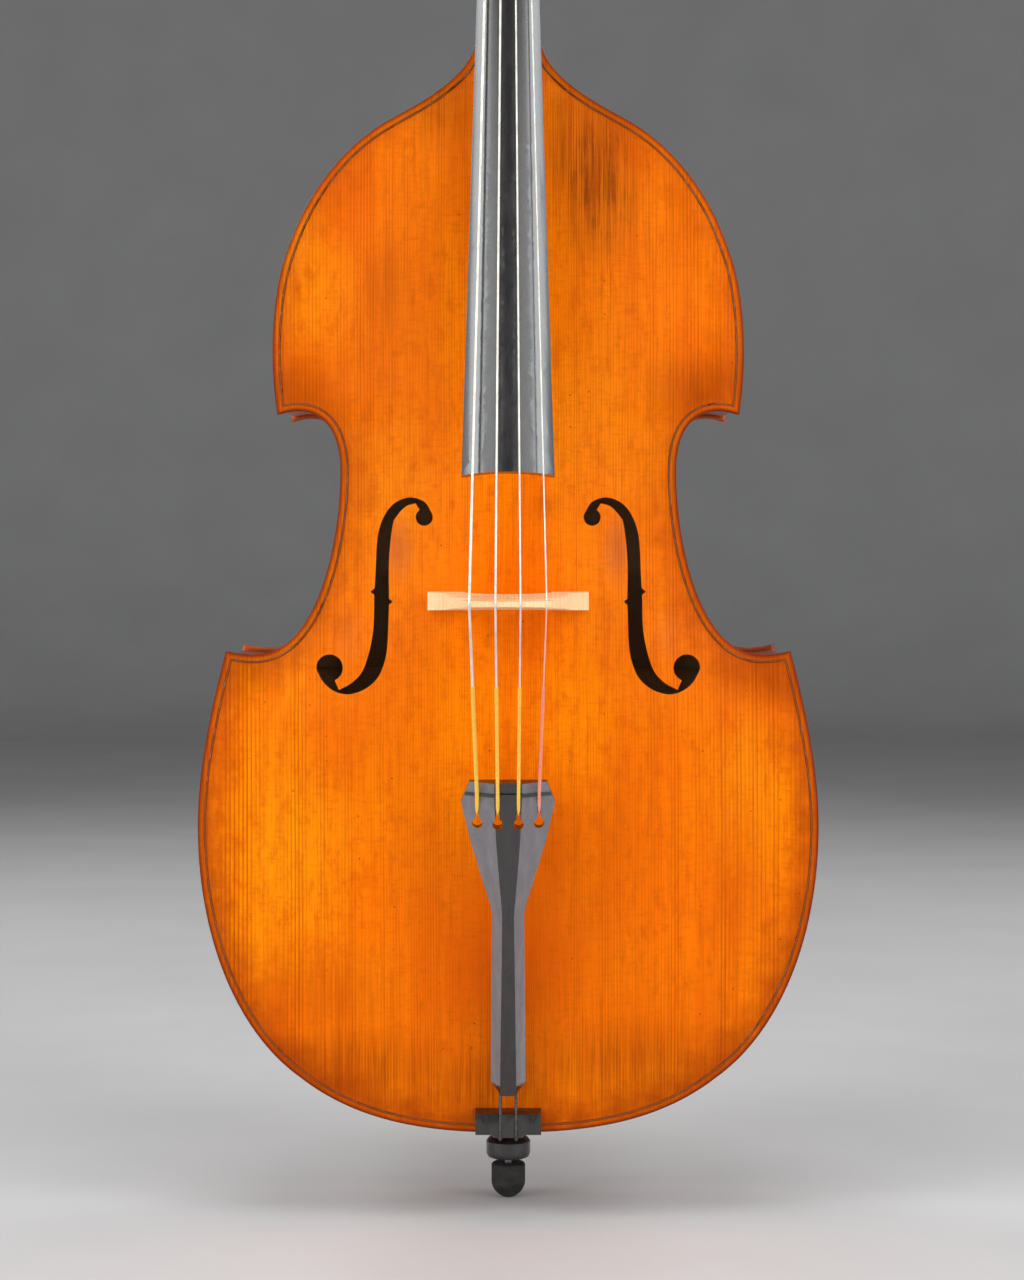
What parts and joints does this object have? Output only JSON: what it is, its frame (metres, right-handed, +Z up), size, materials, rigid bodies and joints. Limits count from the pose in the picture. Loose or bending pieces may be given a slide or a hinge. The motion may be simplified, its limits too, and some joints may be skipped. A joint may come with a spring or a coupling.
{
  "type": "double bass",
  "caption": "Upright double bass with arched belly, canted flat back, geared tuning machines, faceted tailpiece and sliding endpin.",
  "frame": {"origin": "lowest point of the rubber tip, with the endpin pushed in", "axes": "+Z up the instrument to the scroll, +X to the treble side, belly and strings face -Y"},
  "size_m": [0.64, 0.4086, 1.9238],
  "materials": {
    "belly_varnish": "golden orange varnish on spruce",
    "maple_varnish": "red brown varnish on maple",
    "plain_spruce": "bare",
    "purfling": "varnished inlay",
    "ebony": "satin",
    "plain_maple": "bare, polished",
    "string_steel": "flat wound",
    "cable_steel": "dark",
    "silk": "wound silk",
    "brass": "lacquered",
    "peg_steel": "turned",
    "rod_steel": "satin",
    "rubber": "matte"
  },
  "bodies": {
    "root": {"belly": "belly_varnish", "back": "maple_varnish", "rib_upper_bass": "maple_varnish", "rib_upper_treble": "maple_varnish", "rib_centre_bass": "maple_varnish", "rib_centre_treble": "maple_varnish", "rib_lower_bass": "maple_varnish", "rib_lower_treble": "maple_varnish", "neck_block": "plain_spruce", "end_block": "plain_spruce", "corner_blocks": "plain_spruce", "front_linings": "plain_spruce", "back_linings": "plain_spruce", "bass_bar": "plain_spruce", "sound_post": "plain_spruce", "back_braces": "plain_spruce", "front_purfling": "purfling", "back_purfling": "purfling", "neck": "maple_varnish", "pegbox_scroll": "maple_varnish", "fingerboard": "ebony", "nut": "ebony", "bridge": "plain_maple", "tailpiece": "ebony", "tailpiece_fret": "ebony", "tail_cable": "cable_steel", "lower_saddle": "ebony", "endpin_collar": "ebony", "string_e": "string_steel", "string_a": "string_steel", "string_d": "string_steel", "string_g": "string_steel", "silk_ends": "silk", "ball_ends": "string_steel", "machine_plate_bass": "brass", "machine_plate_treble": "brass", "machine_screws": "brass"},
    "e_key_body": {"worm_e": "brass", "key_e": "brass"},
    "e_peg_body": {"peg_e": "peg_steel", "gear_e": "brass"},
    "a_key_body": {"worm_a": "brass", "key_a": "brass"},
    "a_peg_body": {"peg_a": "peg_steel", "gear_a": "brass"},
    "d_key_body": {"worm_d": "brass", "key_d": "brass"},
    "d_peg_body": {"peg_d": "peg_steel", "gear_d": "brass"},
    "g_key_body": {"worm_g": "brass", "key_g": "brass"},
    "g_peg_body": {"peg_g": "peg_steel", "gear_g": "brass"},
    "endpin_body": {"endpin_rod": "rod_steel", "rubber_tip": "rubber"},
    "endpin_screw_body": {"endpin_screw": "rod_steel"}
  },
  "joints": [
    {"name": "e_key_turn", "type": "hinge", "parent": "root", "child": "e_key_body", "pos_m": [-0.0336, -0.02472, 1.69334], "axis": [0, 0.9063, -0.4226], "continuous": true},
    {"name": "e_peg_turn", "type": "hinge", "parent": "root", "child": "e_peg_body", "pos_m": [0, -0.01785, 1.70806], "axis": [1, 0, 0], "continuous": true},
    {"name": "a_key_turn", "type": "hinge", "parent": "root", "child": "a_key_body", "pos_m": [-0.0336, 0.00909, 1.76584], "axis": [0, 0.9063, -0.4226], "continuous": true},
    {"name": "a_peg_turn", "type": "hinge", "parent": "root", "child": "a_peg_body", "pos_m": [0, 0.01596, 1.78057], "axis": [1, 0, 0], "continuous": true},
    {"name": "d_key_turn", "type": "hinge", "parent": "root", "child": "d_key_body", "pos_m": [0.0336, 0.026, 1.80209], "axis": [0, 0.9063, -0.4226], "continuous": true},
    {"name": "d_peg_turn", "type": "hinge", "parent": "root", "child": "d_peg_body", "pos_m": [0, 0.03286, 1.81682], "axis": [1, 0, 0], "continuous": true},
    {"name": "g_key_turn", "type": "hinge", "parent": "root", "child": "g_key_body", "pos_m": [0.0336, -0.00781, 1.72959], "axis": [0, 0.9063, -0.4226], "continuous": true},
    {"name": "g_peg_turn", "type": "hinge", "parent": "root", "child": "g_peg_body", "pos_m": [0, -0.00095, 1.74432], "axis": [1, 0, 0], "continuous": true},
    {"name": "endpin_slide", "type": "slide", "parent": "root", "child": "endpin_body", "axis": [0, 0, -1], "range_m": [0, 0.28]},
    {"name": "endpin_screw_turn", "type": "hinge", "parent": "root", "child": "endpin_screw_body", "pos_m": [0, 0.03, 0.056], "axis": [0, 1, 0], "range_deg": [0, 540]}
  ],
  "couplings": [
    {"joint": "e_peg_turn", "follows": "e_key_turn", "ratio": 0.05},
    {"joint": "a_peg_turn", "follows": "a_key_turn", "ratio": 0.05},
    {"joint": "d_peg_turn", "follows": "d_key_turn", "ratio": -0.05},
    {"joint": "g_peg_turn", "follows": "g_key_turn", "ratio": -0.05}
  ]
}
